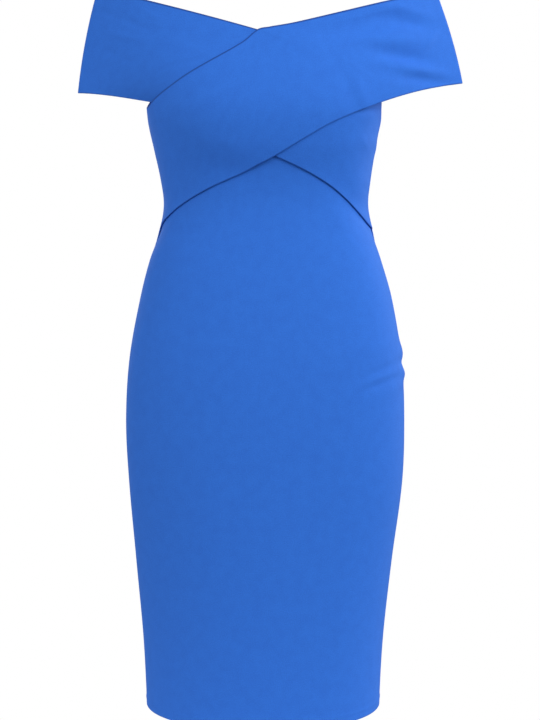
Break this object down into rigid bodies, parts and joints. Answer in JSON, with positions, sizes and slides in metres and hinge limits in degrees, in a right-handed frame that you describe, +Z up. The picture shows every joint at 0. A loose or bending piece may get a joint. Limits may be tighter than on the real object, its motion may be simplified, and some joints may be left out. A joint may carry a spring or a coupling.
{
  "type": "sheath dress",
  "caption": "Knee-length off-the-shoulder sheath dress in matte jersey, with two wide bands that cross over the bust and run on as sleeves, in its worn, hollow form.",
  "frame": {"origin": "inside the bust, on the upright line through the middle of the neckline's width, level with the underarms, where the wearer's body holds the dress", "axes": "+Z up, -Y out of the front of the dress, +X towards the wearer's left"},
  "size_m": [0.4845, 0.2585, 0.912],
  "materials": {
    "jersey": "matte double-knit jersey"
  },
  "bodies": {
    "root": {"body_front": "jersey", "body_back": "jersey", "band_over": "jersey", "band_under": "jersey", "band_back": "jersey"}
  },
  "joints": []
}
